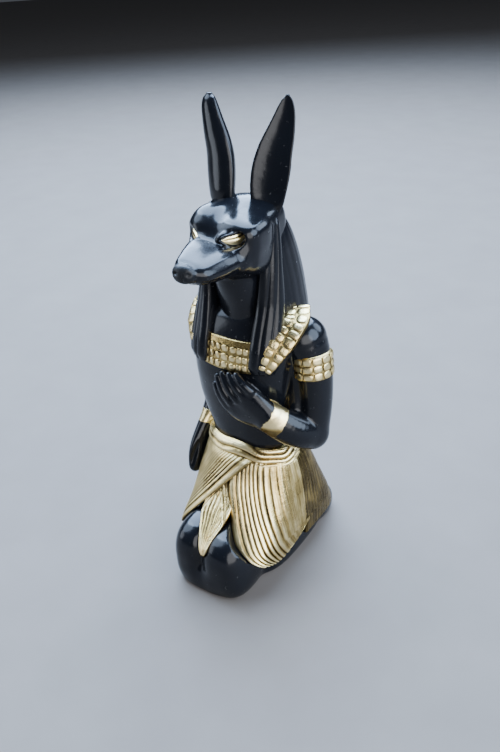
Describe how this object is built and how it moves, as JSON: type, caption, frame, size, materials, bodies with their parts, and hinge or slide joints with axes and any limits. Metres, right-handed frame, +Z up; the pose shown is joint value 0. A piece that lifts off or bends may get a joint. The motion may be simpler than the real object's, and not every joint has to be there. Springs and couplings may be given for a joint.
{
  "type": "kneeling jackal-headed figurine",
  "caption": "Kneeling jackal-headed figurine with tall ears, long headcloth, block collar and pleated kilt, one hand laid on the chest.",
  "frame": {"origin": "middle of the footprint on the flat underside, on the upright middle plane of the body", "axes": "+Z up, the figure faces -Y, +X is the figure's left side"},
  "size_m": [0.0485, 0.0605, 0.14],
  "materials": {
    "black_lacquer": "cast resin under black lacquer, very glossy, with a little dust",
    "gold_paint": "satin antique gold paint with brown wash in the grooves"
  },
  "bodies": {
    "root": {"anubis_figure": "black_lacquer"}
  },
  "joints": []
}
